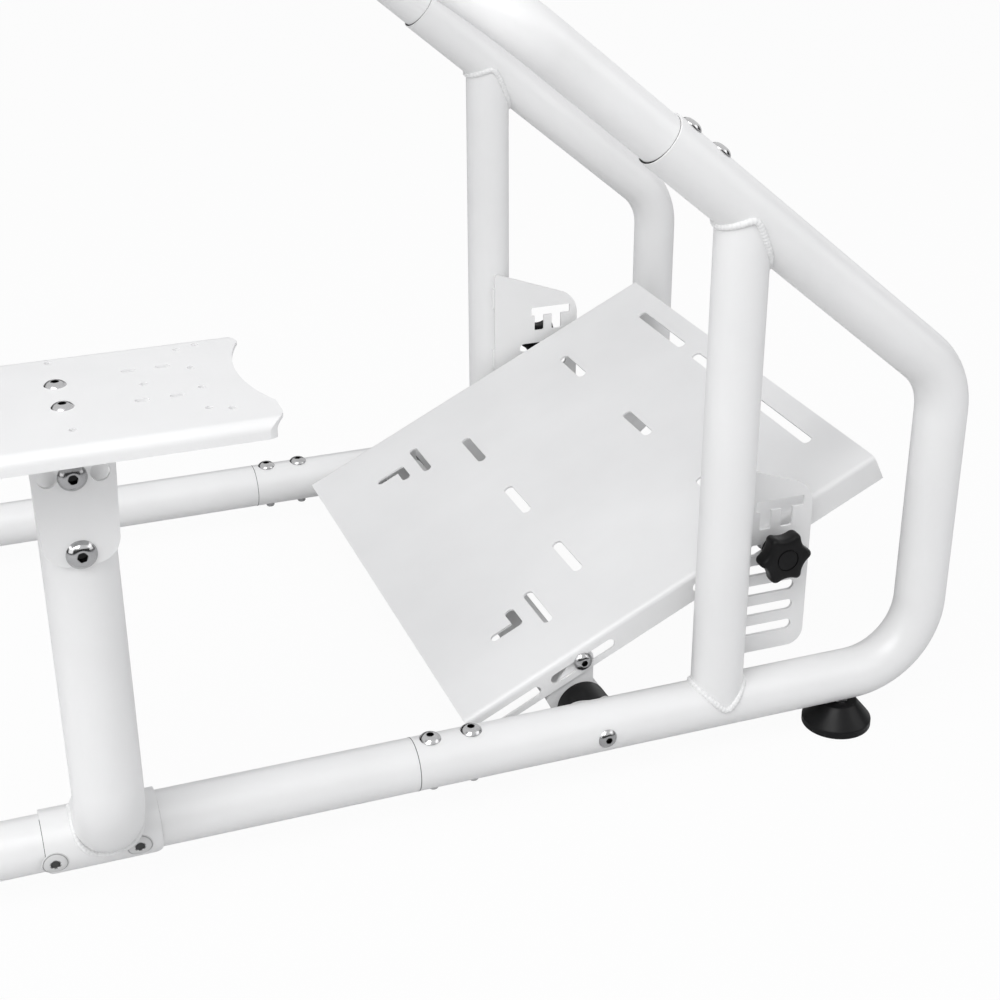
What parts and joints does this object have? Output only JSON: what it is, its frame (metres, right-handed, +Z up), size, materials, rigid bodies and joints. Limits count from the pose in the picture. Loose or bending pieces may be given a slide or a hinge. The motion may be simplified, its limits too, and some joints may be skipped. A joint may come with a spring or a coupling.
{
  "type": "sim racing cockpit frame",
  "caption": "Open tubular floor frame for a sim racing seat position: bent side loops, slotted tilting pedal plate with clamp knobs, steering hoop and a side shifter stand.",
  "frame": {"origin": "on the floor, midway between the side loops and under their posts", "axes": "+X forward to the pedal end, +Y to the driver's left, +Z up"},
  "size_m": [1.3361, 0.804, 0.7386],
  "materials": {
    "white_coat": "smooth satin white powder coat",
    "black_plastic": "satin black moulded plastic",
    "bright_steel": "bright zinc-plated steel"
  },
  "bodies": {
    "frame": {"left_clamp_stud": "bright_steel", "left_front_foot": "black_plastic", "left_front_foot_stud": "bright_steel", "left_pivot_bolt": "bright_steel", "left_pivot_tab": "white_coat", "left_plate_bracket": "white_coat", "left_post": "white_coat", "left_rail": "white_coat", "left_rail_cap": "black_plastic", "left_rear_foot": "black_plastic", "left_rear_foot_stud": "bright_steel", "left_side_loop": "white_coat", "pedal_cross_tube": "white_coat", "pedal_plate": "white_coat", "rear_cross_tube": "white_coat", "right_clamp_stud": "bright_steel", "right_front_foot": "black_plastic", "right_front_foot_stud": "bright_steel", "right_pivot_bolt": "bright_steel", "right_pivot_tab": "white_coat", "right_plate_bracket": "white_coat", "right_post": "white_coat", "right_rail": "white_coat", "right_rail_cap": "black_plastic", "right_rear_foot": "black_plastic", "right_rear_foot_stud": "bright_steel", "right_side_loop": "white_coat", "shifter_bracket": "white_coat", "shifter_plate": "white_coat", "shifter_post": "white_coat", "shifter_saddle": "white_coat", "steering_hoop": "white_coat"},
    "left_clamp_knob": {"left_knob": "black_plastic"},
    "right_clamp_knob": {"right_knob": "black_plastic"}
  },
  "joints": [
    {"name": "left_knob_turn", "type": "hinge", "parent": "frame", "child": "left_clamp_knob", "pos_m": [0.06419, 0.298, 0.1908], "axis": [0, 1, 0], "continuous": true},
    {"name": "right_knob_turn", "type": "hinge", "parent": "frame", "child": "right_clamp_knob", "pos_m": [0.06419, -0.298, 0.1908], "axis": [0, -1, 0], "continuous": true}
  ]
}
